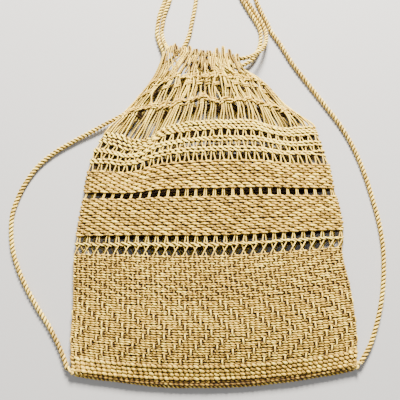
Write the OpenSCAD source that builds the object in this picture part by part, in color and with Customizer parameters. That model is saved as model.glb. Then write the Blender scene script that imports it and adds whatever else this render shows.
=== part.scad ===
// Hand-twined drawstring backpack, lying flat and empty on its back panel.
// +Z is up, +Y points from the bottom seam to the mouth, +X is to the right.
// The origin is on the resting surface, at the middle of the bag's outline.
//
// Rows are placed by their height on the centre line, "v", and places across a row
// run from u = -1 at the left fold to u = 1 at the right fold.

/* [Cloth] */
// Thickness of one layer of twined cloth
layer_t = 4; // [3:0.1:5]
// Highest point of the front layer above the resting surface
crown_top = 27; // [24:0.5:34]

/* [Openwork] */
// Number of warp groups across one face in each open row
warp_groups = 28; // [14:2:36]
// Part of an open row's width that the warps fill
warp_fill = 0.4; // [0.3:0.05:0.6]

/* [Mouth] */
// Number of hairpin loops on the front edge of the mouth
front_loops = 10; // [6:1:10]
// Number of hairpin loops on the back edge of the mouth
back_loops = 7; // [4:1:7]
// Distance between neighbouring hairpin loops
loop_pitch = 6.6; // [6:0.1:6.6]

/* [Drawcord] */
// Diameter of the twisted drawcord
cord_d = 4.6; // [4:0.1:4.8]

/* [Hidden] */

STRAW = [0.80, 0.68, 0.42];
STRAW_PALE = [0.88, 0.78, 0.53];
STRAW_DARK = [0.68, 0.55, 0.32];
CORD = [0.85, 0.74, 0.48];

// Row boundaries on the centre line, from the bottom seam to the top of the net
V_SEAM = -162.5;
V_PANEL = -158;
V_BASKET = -145;
V_CHEVRON = -90;
V_LOW_WARPS = -51;
V_MID_WEFT = -41;
V_HIGH_WARPS = -37.5;
V_MIDDLE = -30;
V_SINGLE = 5;
V_UPPER = 14;
V_OPEN_3 = 40;
V_BAR_3 = 48;
V_OPEN_2 = 53;
V_BAR_2 = 58;
V_OPEN_1 = 63;
V_BAR_1 = 69;
V_FREE = 79;
V_GATHER = 98;
V_NET = 108;
V_NET_TOP = 140;

// Left and right fold of the cloth, how far a row bends up (+) or down (-) at each fold,
// the height of the front layer, and how square the cross-section is, all by row height
LEFT_FOLD = [[-162.5, -124.5], [-145, -128], [-90, -127.5], [-51, -126.5], [-30, -125],
    [5, -120.5], [14, -119.5], [40, -117], [58, -112.5], [69, -107.5], [79, -100.5],
    [98, -80], [108, -72.5], [150, -38]];
RIGHT_FOLD = [[-162.5, 124.5], [-145, 128], [-90, 126.5], [-51, 121.5], [-41, 123],
    [5, 119.5], [14, 118], [40, 115], [58, 109.5], [69, 106.5], [79, 102.5],
    [98, 88], [108, 79.5], [150, 42]];
BEND_LEFT = [[-162.5, 13], [-158, 10.5], [-145, 10], [-90, 7], [-51, 7], [-30, 5], [5, 4.5],
    [14, 2.5], [40, -2], [58, -3], [79, -4], [98, -7], [108, -9], [150, -6]];
BEND_RIGHT = [[-162.5, 13], [-158, 10.5], [-145, 10], [-90, 9], [-51, 9], [-30, 6], [5, 3],
    [14, 2], [40, 0], [58, 0], [79, -2], [98, -10], [108, -13], [150, -6]];
CROWN = [[-162.5, 8], [-158, 8], [-145, 13], [-90, crown_top - 5], [-30, crown_top - 2],
    [40, crown_top - 1], [79, crown_top - 1], [108, crown_top], [150, crown_top - 1]];
SQUARENESS = [[79, 4], [108, 6], [150, 14]];
// The rows near the neck sag beside the middle: how far by place, and how much of it by height
SAG = [[-1, 0], [-0.97, -1], [-0.86, -6.5], [-0.7, -15.5], [-0.58, -15.5], [-0.45, -7],
    [-0.25, -2], [0, 0], [0.25, 0], [0.45, -1], [0.58, -5], [0.7, -6], [0.86, -3],
    [0.97, 0], [1, 0]];
SAG_SHARE = [[-30, 0], [5, 0.15], [14, 0.22], [40, 0.5], [50, 0.6], [60, 0.78], [69, 1],
    [79, 1], [98, 0.35], [108, 0.2], [150, 0]];
FOLD_SEAT = 0.97;
U_COLUMNS = [for (s = SAG) s[0]];
U_LAST = len(U_COLUMNS) - 1;
fold_z = 2 * layer_t;

// Warp groups stand clear of the two folds by this part of the half width
WARP_SPAN = 0.985;
warp_t = layer_t - 1;

LOOP_R = 4;
LOOP_WIRE_R = 1;
// The mouth slants: the first front loop is the highest, and the loops fall to the right
LOOP_Y = 156.5;
MOUTH_SLANT = 0.16;
LONG_LEG_FOOT_Y = 134.5;
SHORT_LEG = 2;
front_loop_z = crown_top - 1 - LOOP_R - LOOP_WIRE_R;
back_loop_z = LOOP_R + LOOP_WIRE_R;
FRONT_LOOP_X0 = -30;
BACK_LOOP_X0 = -14;

CORD_SIDES = 8;
KNOT_R = 3.8;
KNOT_X = 125;
KNOT_Y = -147.5;
KNOT_Z = 4;

// Cord routes, [x, y, z] on the centre line
LEFT_STRAP = [[-130.6, -145.5, 4.4], [-138, -129, 3], [-148, -111, 2.4], [-160, -93, 2.4],
    [-171, -75, 2.4], [-180, -57, 2.4], [-186.5, -39, 2.4], [-189.5, -20, 2.4],
    [-189.5, -3, 2.4], [-185.5, 12, 2.4], [-178, 29, 2.4], [-167, 45, 2.4],
    [-151, 59, 2.4], [-132, 70.5, 2.8], [-109.5, 82.6, 4]];
LEFT_LEAD = [[-107, 84, 4.2], [-90, 93, 5], [-76, 101.5, 5], [-64, 115, 5], [-53.5, 131, 6],
    [-44.5, 148, 6], [-44, 163, 4.8], [-49, 178, 2.8], [-51.3, 190, 2.4]];
CARRY_OUTER = [[-51, 192.8, 2.4], [-48.5, 210, 2.4], [-43.5, 225, 2.4], [-37.5, 247, 2.4],
    [-22, 267, 2.4], [0, 275, 2.4], [22, 268, 2.4], [37, 248, 2.4], [45, 225, 2.4],
    [54, 208, 2.4], [61, 192.8, 2.4]];
FRONT_RUN = [[61.8, 190, 2.4], [62.5, 180, 5], [59, 167, 9.5], [51, 156, 15.5], [41, 148.6, 20],
    [31, 146.7, 21], [18, 148.8, 21], [0, 151.7, 21], [-31, 156.6, 21], [-37, 159.5, 18], [-40.5, 166.5, 11.5],
    [-44, 177, 5.4], [-46.3, 190, 2.4]];
CARRY_INNER = [[-46, 192.8, 2.4], [-43.6, 209, 2.4], [-38.6, 225, 2.4], [-32.5, 246, 2.4],
    [-19, 262, 2.4], [0, 269, 2.4], [19, 263, 2.4], [32, 246, 2.4], [40, 225, 2.4],
    [49, 207, 2.4], [55.8, 192.8, 2.4]];
BACK_RUN = [[56.6, 190, 2.4], [56.7, 177, 2.8], [52, 163, 3.8], [43, 151.5, 4.8],
    [33, 147, 5], [22, 148.2, 5], [8, 150.4, 5], [-14, 153.9, 5], [-20, 156.4, 4.8],
    [-23.8, 162.5, 4], [-23.6, 170, 3.2],
    [-20, 179, 2.6], [-16.4, 190, 2.4]];
CARRY_CROSSING = [[-16, 192.8, 2.4], [-13, 208, 2.4], [-10, 225, 2.4], [-7.5, 247, 2.6],
    [-4, 260, 6], [0.5, 272, 7.6], [7, 281.5, 5], [19, 288, 2.4], [36, 284, 2.4],
    [48.5, 267, 2.4], [53, 247, 2.4], [54.5, 225, 2.4], [60.5, 208, 2.4], [66.6, 192.8, 2.4]];
RIGHT_LEAD = [[67.2, 190, 2.4], [71, 183, 2.4], [75, 176, 2.6]];
RIGHT_STRAP = [[77, 172.5, 2.6], [88, 151, 2.4], [103, 127, 2.4], [119, 102, 2.4],
    [132, 81, 2.4], [143, 57, 2.4], [150.5, 33, 2.4], [156.5, 5, 2.4], [160.5, -20, 2.4],
    [161.7, -42, 2.4], [160, -65, 2.4], [155.5, -90, 2.4], [148, -114, 2.4],
    [140, -132, 3], [130.8, -145.2, 4.4]];

// ---- the bag's surface ----------------------------------------------------------

function between(a, b, t) = a + (b - a) * t;
function arch(u, v) = max(0, 1 - pow(abs(u) / FOLD_SEAT, lookup(v, SQUARENESS)));
function front_top(u, v) = fold_z + (lookup(v, CROWN) - fold_z) * arch(u, v);
function surface_x(u, v) = between(lookup(v, LEFT_FOLD), lookup(v, RIGHT_FOLD), (u + 1) / 2);
function surface_y(u, v) =
    v + lookup(v, u < 0 ? BEND_LEFT : BEND_RIGHT) * u * u + lookup(u, SAG) * lookup(v, SAG_SHARE);

// A column's own point, and a point on the straight line between two columns
function column_point(i, v) =
    let (u = U_COLUMNS[i])
    [surface_x(u, v), surface_y(u, v), front_top(u, v)];
function column_before(u) = max([for (i = [0:U_LAST - 1]) if (U_COLUMNS[i] <= u) i]);
function facet_point(u, v) =
    let (
        i = column_before(u),
        t = (u - U_COLUMNS[i]) / (U_COLUMNS[i + 1] - U_COLUMNS[i])
    )
    between(column_point(i, v), column_point(i + 1, v), t);

// Height range of the cloth at a point of the front surface, as [bottom, top]
function front_span(p, t) = [p[2] - (layer_t + t) / 2, p[2] - (layer_t - t) / 2];
function back_span(p, t) = [(layer_t - t) / 2, (layer_t + t) / 2];
function seam_span(p, t) = [0, p[2]];
function span_of(face, p, t) =
    face == "front" ? front_span(p, t) : face == "back" ? back_span(p, t) : seam_span(p, t);

// A sheet of cloth over the columns "us" and the rows "vs", t thick
module cloth(us, vs, t, face) {
    nu = len(us);
    nv = len(vs);
    surface = [for (v = vs) for (u = us) facet_point(u, v)];
    tops = [for (p = surface) [p[0], p[1], span_of(face, p, t)[1]]];
    bottoms = [for (p = surface) [p[0], p[1], span_of(face, p, t)[0]]];
    low = nu * nv;
    up_faces = [
        for (j = [0:nv - 2]) for (i = [0:nu - 2])
        let (a = j * nu + i, b = a + 1, c = b + nu, d = a + nu)
        each [[c, b, a], [d, c, a]]
    ];
    down_faces = [for (f = up_faces) [f[2] + low, f[1] + low, f[0] + low]];
    rim = [
        for (i = [0:nu - 2]) [i, i + 1],
        for (j = [0:nv - 2]) [j * nu + nu - 1, (j + 1) * nu + nu - 1],
        for (i = [nu - 1:-1:1]) [(nv - 1) * nu + i, (nv - 1) * nu + i - 1],
        for (j = [nv - 1:-1:1]) [j * nu, (j - 1) * nu]
    ];
    walls = [for (e = rim) each [[e[0], e[1], e[1] + low], [e[0], e[1] + low, e[0] + low]]];
    polyhedron(points = concat(tops, bottoms), faces = concat(up_faces, down_faces, walls));
}

// A closed band of weft courses, and an open row of upright warp groups
module band(vs, face, shade = STRAW) color(shade) cloth(U_COLUMNS, vs, layer_t, face);

module open_row(v0, v1, face) {
    step = 2 * WARP_SPAN / warp_groups;
    half = step * warp_fill / 2;
    color(STRAW_PALE)
        for (k = [0:warp_groups - 1])
            let (
                u = -WARP_SPAN + (k + 0.5) * step,
                kinks = [for (c = U_COLUMNS) if (abs(c - u) < half) c]
            )
                cloth([u - half, each kinks, u + half], [v0, v1], warp_t, face);
}

// ---- the mouth ------------------------------------------------------------------

function loop_y(x) = LOOP_Y - MOUTH_SLANT * (x - FRONT_LOOP_X0);

// One hairpin loop around the drawcord; its long leg is woven into the net
module hairpin(x, z, long_leg_up) {
    translate([x, loop_y(x), z]) {
        rotate([0, -90, 0])
            rotate_extrude(angle = 180, $fn = 48)
                translate([LOOP_R, 0])
                    circle(r = LOOP_WIRE_R, $fn = 24);
        leg(long_leg_up * LOOP_R, loop_y(x) - LONG_LEG_FOOT_Y);
        leg(-long_leg_up * LOOP_R, SHORT_LEG);
    }
}

module leg(z, length)
    translate([0, 0, z])
        rotate([90, 0, 0])
            cylinder(r = LOOP_WIRE_R, h = length, $fn = 24);

module mouth_loops_front()
    color(STRAW_PALE)
        for (i = [0:front_loops - 1])
            hairpin(FRONT_LOOP_X0 + i * loop_pitch, front_loop_z, 1);

module mouth_loops_back()
    color(STRAW_DARK)
        for (i = [0:back_loops - 1])
            hairpin(BACK_LOOP_X0 + i * loop_pitch, back_loop_z, -1);

// ---- the drawcord ---------------------------------------------------------------

function unit(v) = v / norm(v);
function heading(path, i) =
    unit(path[min(i + 1, len(path) - 1)] - path[max(i - 1, 0)]);
function ring(path, i) =
    let (
        ahead = heading(path, i),
        side = unit(cross(ahead, [0, 0, 1])),
        up = cross(side, ahead)
    )
    [for (k = [0:CORD_SIDES - 1])
        let (a = 360 * k / CORD_SIDES)
        path[i] + cord_d / 2 * (cos(a) * side + sin(a) * up)];

module cord(path) {
    n = CORD_SIDES;
    last = len(path) - 1;
    points = [for (i = [0:last]) each ring(path, i)];
    sides = [
        for (i = [0:last - 1]) for (k = [0:n - 1])
        let (a = i * n + k, b = i * n + (k + 1) % n)
        each [[a, b, b + n], [a, b + n, a + n]]
    ];
    start_cap = [for (k = [n - 1:-1:0]) k];
    end_cap = [for (k = [0:n - 1]) last * n + k];
    color(CORD) polyhedron(points = points, faces = concat([start_cap, end_cap], sides));
}

// The knot that holds a strap's end in its bottom corner
module corner_knot(side)
    color(STRAW_DARK)
        translate([side * KNOT_X, KNOT_Y, KNOT_Z])
            sphere(r = KNOT_R, $fn = 32);

module corner_knot_left() corner_knot(-1);
module corner_knot_right() corner_knot(1);

// ---- the rows, from the bottom seam up --------------------------------------------

module bottom_seam() band([V_SEAM, V_PANEL], "seam", STRAW_DARK);
module bottom_courses_front() band([V_PANEL, V_BASKET], "front");
module bottom_courses_back() band([V_PANEL, V_BASKET], "back");
module basket_band_front() band([V_BASKET, -118, V_CHEVRON], "front");
module basket_band_back() band([V_BASKET, -118, V_CHEVRON], "back");
module chevron_band_front() band([V_CHEVRON, V_LOW_WARPS], "front");
module chevron_band_back() band([V_CHEVRON, V_LOW_WARPS], "back");
module double_open_low_warps_front() open_row(V_LOW_WARPS, V_MID_WEFT, "front");
module double_open_low_warps_back() open_row(V_LOW_WARPS, V_MID_WEFT, "back");
module double_open_mid_weft_front() band([V_MID_WEFT, V_HIGH_WARPS], "front", STRAW_PALE);
module double_open_mid_weft_back() band([V_MID_WEFT, V_HIGH_WARPS], "back", STRAW_PALE);
module double_open_high_warps_front() open_row(V_HIGH_WARPS, V_MIDDLE, "front");
module double_open_high_warps_back() open_row(V_HIGH_WARPS, V_MIDDLE, "back");
module middle_band_front() band([V_MIDDLE, V_SINGLE], "front");
module middle_band_back() band([V_MIDDLE, V_SINGLE], "back");
module single_open_warps_front() open_row(V_SINGLE, V_UPPER, "front");
module single_open_warps_back() open_row(V_SINGLE, V_UPPER, "back");
module upper_band_front() band([V_UPPER, V_OPEN_3], "front");
module upper_band_back() band([V_UPPER, V_OPEN_3], "back");
module neck_open_3_warps_front() open_row(V_OPEN_3, V_BAR_3, "front");
module neck_open_3_warps_back() open_row(V_OPEN_3, V_BAR_3, "back");
module weft_bar_3_front() band([V_BAR_3, V_OPEN_2], "front", STRAW_PALE);
module weft_bar_3_back() band([V_BAR_3, V_OPEN_2], "back", STRAW_PALE);
module neck_open_2_warps_front() open_row(V_OPEN_2, V_BAR_2, "front");
module neck_open_2_warps_back() open_row(V_OPEN_2, V_BAR_2, "back");
module weft_bar_2_front() band([V_BAR_2, V_OPEN_1], "front", STRAW_PALE);
module weft_bar_2_back() band([V_BAR_2, V_OPEN_1], "back", STRAW_PALE);
module neck_open_1_warps_front() open_row(V_OPEN_1, V_BAR_1, "front");
module neck_open_1_warps_back() open_row(V_OPEN_1, V_BAR_1, "back");
module weft_bar_1_front() band([V_BAR_1, V_FREE], "front", STRAW_PALE);
module weft_bar_1_back() band([V_BAR_1, V_FREE], "back", STRAW_PALE);
module free_warps_front() open_row(V_FREE, V_GATHER, "front");
module free_warps_back() open_row(V_FREE, V_GATHER, "back");
module gather_course_front() band([V_GATHER, V_NET], "front", STRAW_DARK);
module gather_course_back() band([V_GATHER, V_NET], "back", STRAW_DARK);
module mouth_net_front() band([V_NET, 132, V_NET_TOP], "front", STRAW_PALE);
module mouth_net_back() band([V_NET, 132, V_NET_TOP], "back", STRAW_PALE);

module left_strap() cord(LEFT_STRAP);
module left_lead() cord(LEFT_LEAD);
module carry_loop_outer() cord(CARRY_OUTER);
module drawcord_front_run() cord(FRONT_RUN);
module carry_loop_inner() cord(CARRY_INNER);
module drawcord_back_run() cord(BACK_RUN);
module carry_loop_crossing() cord(CARRY_CROSSING);
module right_lead() cord(RIGHT_LEAD);
module right_strap() cord(RIGHT_STRAP);

bottom_seam();
bottom_courses_front();
bottom_courses_back();
basket_band_front();
basket_band_back();
chevron_band_front();
chevron_band_back();
double_open_low_warps_front();
double_open_low_warps_back();
double_open_mid_weft_front();
double_open_mid_weft_back();
double_open_high_warps_front();
double_open_high_warps_back();
middle_band_front();
middle_band_back();
single_open_warps_front();
single_open_warps_back();
upper_band_front();
upper_band_back();
neck_open_3_warps_front();
neck_open_3_warps_back();
weft_bar_3_front();
weft_bar_3_back();
neck_open_2_warps_front();
neck_open_2_warps_back();
weft_bar_2_front();
weft_bar_2_back();
neck_open_1_warps_front();
neck_open_1_warps_back();
weft_bar_1_front();
weft_bar_1_back();
free_warps_front();
free_warps_back();
gather_course_front();
gather_course_back();
mouth_net_front();
mouth_net_back();
mouth_loops_front();
mouth_loops_back();
corner_knot_left();
corner_knot_right();
left_strap();
left_lead();
carry_loop_outer();
drawcord_front_run();
carry_loop_inner();
drawcord_back_run();
carry_loop_crossing();
right_lead();
right_strap();
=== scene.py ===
"""The looks of a hand-twined drawstring backpack, lying flat and empty on its back panel.

The bag is built the way it was made: upright warp cords, and weft rows of two yarns each that
twist round the warps. Rows are placed by "v", their height on the centre line in millimetres,
and places across a row run from u = -1 at the left fold to u = 1 at the right fold, or in
warps from 0 to WARPS. The tables and the cord's route repeat the CAD's. Lengths are in
millimetres up to the meshes, which are in metres.
"""

import math

import bpy
import numpy as np
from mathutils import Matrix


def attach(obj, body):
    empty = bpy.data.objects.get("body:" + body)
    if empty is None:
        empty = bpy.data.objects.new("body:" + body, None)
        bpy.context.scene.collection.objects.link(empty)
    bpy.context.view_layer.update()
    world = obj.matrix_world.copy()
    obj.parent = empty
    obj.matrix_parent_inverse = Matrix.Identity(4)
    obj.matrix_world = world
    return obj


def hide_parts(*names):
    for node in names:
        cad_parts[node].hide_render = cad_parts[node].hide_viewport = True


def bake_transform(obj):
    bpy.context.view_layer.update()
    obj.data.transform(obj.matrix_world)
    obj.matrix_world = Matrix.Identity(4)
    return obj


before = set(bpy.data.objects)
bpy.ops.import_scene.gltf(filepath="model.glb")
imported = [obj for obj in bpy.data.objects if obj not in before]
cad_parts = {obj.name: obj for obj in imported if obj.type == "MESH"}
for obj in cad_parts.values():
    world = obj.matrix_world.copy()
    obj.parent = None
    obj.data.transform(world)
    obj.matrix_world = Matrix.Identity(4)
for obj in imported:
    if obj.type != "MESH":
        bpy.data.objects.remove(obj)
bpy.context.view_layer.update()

MM = 0.001
rng = np.random.default_rng(11)

# ---- the bag's shape, as in the CAD ----------------------------------

V_SEAM, V_PANEL, V_BASKET, V_CHEVRON = -162.5, -158, -145, -90
V_LOW_WARPS, V_MID_WEFT, V_HIGH_WARPS, V_MIDDLE = -51, -41, -37.5, -30
V_SINGLE, V_UPPER = 5, 14
V_OPEN_3, V_BAR_3, V_OPEN_2, V_BAR_2, V_OPEN_1, V_BAR_1 = 40, 48, 53, 58, 63, 69
V_FREE, V_GATHER, V_NET = 79, 98, 108

LAYER_T = 4
FOLD_Z = 8
CROWN_TOP = 27
LEFT_FOLD = [[-162.5, -124.5], [-145, -128], [-90, -127.5], [-51, -126.5], [-30, -125],
             [5, -120.5], [14, -119.5], [40, -117], [58, -112.5], [69, -107.5], [79, -100.5],
             [98, -80], [108, -72.5], [150, -38]]
RIGHT_FOLD = [[-162.5, 124.5], [-145, 128], [-90, 126.5], [-51, 121.5], [-41, 123],
              [5, 119.5], [14, 118], [40, 115], [58, 109.5], [69, 106.5], [79, 102.5],
              [98, 88], [108, 79.5], [150, 42]]
BEND_LEFT = [[-162.5, 13], [-158, 10.5], [-145, 10], [-90, 7], [-51, 7], [-30, 5], [5, 4.5],
             [14, 2.5], [40, -2], [58, -3], [79, -4], [98, -7], [108, -9], [150, -6]]
BEND_RIGHT = [[-162.5, 13], [-158, 10.5], [-145, 10], [-90, 9], [-51, 9], [-30, 6], [5, 3],
              [14, 2], [40, 0], [58, 0], [79, -2], [98, -10], [108, -13], [150, -6]]
CROWN = [[-162.5, 8], [-158, 8], [-145, 13], [-90, CROWN_TOP - 5], [-30, CROWN_TOP - 2],
         [40, CROWN_TOP - 1], [79, CROWN_TOP - 1], [108, CROWN_TOP], [150, CROWN_TOP - 1]]
SQUARENESS = [[79, 4], [108, 6], [150, 14]]
SAG = [[-1, 0], [-0.97, -1], [-0.86, -6.5], [-0.7, -15.5], [-0.58, -15.5], [-0.45, -7],
       [-0.25, -2], [0, 0], [0.25, 0], [0.45, -1], [0.58, -5], [0.7, -6], [0.86, -3],
       [0.97, 0], [1, 0]]
SAG_SHARE = [[-30, 0], [5, 0.15], [14, 0.22], [40, 0.5], [50, 0.6], [60, 0.78], [69, 1],
             [79, 1], [98, 0.35], [108, 0.2], [150, 0]]
FOLD_SEAT = 0.97

# ---- the drawcord's route, as in the CAD -----------------------------

CORD_D = 4.6
CORD_ROUTE = {
    "left_strap": [
        [-130.6, -145.5, 4.4], [-138, -129, 3], [-148, -111, 2.4], [-160, -93, 2.4],
        [-171, -75, 2.4], [-180, -57, 2.4], [-186.5, -39, 2.4], [-189.5, -20, 2.4],
        [-189.5, -3, 2.4], [-185.5, 12, 2.4], [-178, 29, 2.4], [-167, 45, 2.4],
        [-151, 59, 2.4], [-132, 70.5, 2.8], [-109.5, 82.6, 4]],
    "left_lead": [
        [-107, 84, 4.2], [-90, 93, 5], [-76, 101.5, 5], [-64, 115, 5], [-53.5, 131, 6],
        [-44.5, 148, 6], [-44, 163, 4.8], [-49, 178, 2.8], [-51.3, 190, 2.4]],
    "carry_loop_outer": [
        [-51, 192.8, 2.4], [-48.5, 210, 2.4], [-43.5, 225, 2.4], [-37.5, 247, 2.4],
        [-22, 267, 2.4], [0, 275, 2.4], [22, 268, 2.4], [37, 248, 2.4], [45, 225, 2.4],
        [54, 208, 2.4], [61, 192.8, 2.4]],
    "drawcord_front_run": [
        [61.8, 190, 2.4], [62.5, 180, 5], [59, 167, 9.5], [51, 156, 15.5], [41, 148.6, 20],
        [31, 146.7, 21], [18, 148.8, 21], [0, 151.7, 21], [-31, 156.6, 21], [-37, 159.5, 18],
        [-40.5, 166.5, 11.5], [-44, 177, 5.4], [-46.3, 190, 2.4]],
    "carry_loop_inner": [
        [-46, 192.8, 2.4], [-43.6, 209, 2.4], [-38.6, 225, 2.4], [-32.5, 246, 2.4],
        [-19, 262, 2.4], [0, 269, 2.4], [19, 263, 2.4], [32, 246, 2.4], [40, 225, 2.4],
        [49, 207, 2.4], [55.8, 192.8, 2.4]],
    "drawcord_back_run": [
        [56.6, 190, 2.4], [56.7, 177, 2.8], [52, 163, 3.8], [43, 151.5, 4.8], [33, 147, 5],
        [22, 148.2, 5], [8, 150.4, 5], [-14, 153.9, 5], [-20, 156.4, 4.8], [-23.8, 162.5, 4],
        [-23.6, 170, 3.2], [-20, 179, 2.6], [-16.4, 190, 2.4]],
    "carry_loop_crossing": [
        [-16, 192.8, 2.4], [-13, 208, 2.4], [-10, 225, 2.4], [-7.5, 247, 2.6],
        [-4, 260, 6], [0.5, 272, 7.6], [7, 281.5, 5], [19, 288, 2.4], [36, 284, 2.4],
        [48.5, 267, 2.4], [53, 247, 2.4], [54.5, 225, 2.4], [60.5, 208, 2.4],
        [66.6, 192.8, 2.4]],
    "right_lead": [[67.2, 190, 2.4], [71, 183, 2.4], [75, 176, 2.6]],
    "right_strap": [
        [77, 172.5, 2.6], [88, 151, 2.4], [103, 127, 2.4], [119, 102, 2.4], [132, 81, 2.4],
        [143, 57, 2.4], [150.5, 33, 2.4], [156.5, 5, 2.4], [160.5, -20, 2.4],
        [161.7, -42, 2.4], [160, -65, 2.4], [155.5, -90, 2.4], [148, -114, 2.4],
        [140, -132, 3], [130.8, -145.2, 4.4]],
}
LOOP_STRETCHES = ("carry_loop_outer", "carry_loop_inner", "carry_loop_crossing")
STRAP_STRETCHES = ("left_strap", "right_strap")

# ---- how far the cloth's sides stand out beyond the fold line --------

LEFT_OUT = [[-162.5, 1], [-120, 1.2], [-83, 2.2], [-55, 4], [-12, 3.4], [17, 2.8], [58, 2.8],
            [79, 4], [92, 8], [108, 10], [130, 9.5], [150, 8]]
RIGHT_OUT = [[-162.5, 1], [-120, 1.8], [-83, 2.4], [-55, 2.6], [-12, 3.2], [17, 2.8],
             [58, 3], [79, 4], [98, 7], [108, 5.5], [130, 3.5], [150, 2]]

# The power of u that these grow with, so that they fade towards the middle
OUT_POWER = 5

# ---- warps and side folds --------------------------------------------

# Warps across one face, and the radius of a warp inside closed cloth
WARPS = 56
WARP_R = 0.85
# Where a face starts to turn round the side fold, and the radius of that turn
FOLD_U = 0.967
FOLD_R = 2.0


# ---- small mathematics -----------------------------------------------

def lookup(table, key):
    """A smooth curve through a table's [key, value] rows."""
    keys, values = np.array(table, float).T
    slopes = np.gradient(values, keys)
    key = np.clip(key, keys[0], keys[-1])
    i = np.clip(np.searchsorted(keys, key, side="right") - 1, 0, len(keys) - 2)
    gap = keys[i + 1] - keys[i]
    t = (key - keys[i]) / gap
    ease = t * t * (3 - 2 * t)
    start_pull = t * (1 - t) ** 2 * gap * slopes[i]
    end_pull = t * t * (1 - t) * gap * slopes[i + 1]
    return values[i] * (1 - ease) + values[i + 1] * ease + start_pull - end_pull


def unit(a):
    """Vectors of length 1, in the directions of a's."""
    return a / np.maximum(np.linalg.norm(a, axis=-1, keepdims=True), 1e-9)


def wander(count, points, knots, size):
    """Smooth random wandering of about +-size: one row per curve, turning at each knot."""
    values = rng.uniform(-size, size, (count, knots + 1))
    place = np.linspace(0, knots, points)
    i = np.minimum(place.astype(int), knots - 1)
    t = place - i
    ease = t * t * (3 - 2 * t)
    return values[:, i] * (1 - ease) + values[:, i + 1] * ease


def spline(points, step):
    """A smooth curve through the points, sampled about every step."""
    p = np.array(points, float)
    chord = np.concatenate([[0], np.cumsum(np.linalg.norm(np.diff(p, axis=0), axis=1))])
    place = np.linspace(0, chord[-1], max(int(chord[-1] / step), 3) + 1)
    return np.stack([lookup(np.stack([chord, p[:, k]], 1), place) for k in range(3)], 1)


# ---- the cloth's surface ---------------------------------------------

# Steps over which the surface's slopes are measured
STEP_U, STEP_V = 0.004, 0.5


def plain_surface(u, v, face):
    """A point of the middle of one layer. Past FOLD_U it turns round the side fold."""
    flat_u = np.clip(u, -FOLD_U, FOLD_U)
    turn = (np.abs(u) - FOLD_U).clip(0) / (1 - FOLD_U) * math.pi / 2
    left, right = lookup(LEFT_FOLD, v), lookup(RIGHT_FOLD, v)
    out = np.where(u < 0, lookup(LEFT_OUT, v), lookup(RIGHT_OUT, v)) * np.abs(flat_u) ** OUT_POWER
    x = left + (right - left) * (flat_u + 1) / 2 + np.sign(u) * (FOLD_R * np.sin(turn) + out)
    bend = np.where(u < 0, lookup(BEND_LEFT, v), lookup(BEND_RIGHT, v))
    y = v + bend * u * u + lookup(SAG, u) * lookup(SAG_SHARE, v)
    power = lookup(SQUARENESS, v)
    arch = np.maximum(0, 1 - (np.abs(flat_u) / FOLD_SEAT) ** power)
    top = FOLD_Z + (lookup(CROWN, v) - FOLD_Z) * arch
    if face == "front":
        z = top - LAYER_T / 2 - FOLD_R * (1 - np.cos(turn))
    else:
        z = LAYER_T / 2 + FOLD_R * (1 - np.cos(turn))
    return np.stack([x, y, z + np.zeros_like(x)], -1)


def surface(u, v, face):
    """Points of the middle of a layer and the outward normals there."""
    u, v = np.broadcast_arrays(np.asarray(u, float), np.asarray(v, float))
    point = plain_surface(u, v, face)
    across = plain_surface(u + STEP_U, v, face) - plain_surface(u - STEP_U, v, face)
    along = plain_surface(u, v + STEP_V, face) - plain_surface(u, v - STEP_V, face)
    normal = unit(np.cross(across, along))
    return point, normal if face == "front" else -normal


def warp_u(c):
    """The place across a row, from -1 to 1, of a place given in warps."""
    return 2 * np.asarray(c, float) / WARPS - 1


# ---- tubes -----------------------------------------------------------

# How much a yarn's lift counts beside the side that it turns, in how deep a point lies, which
# sets its painted shade
LIFT_SHARE = 0.5


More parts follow.
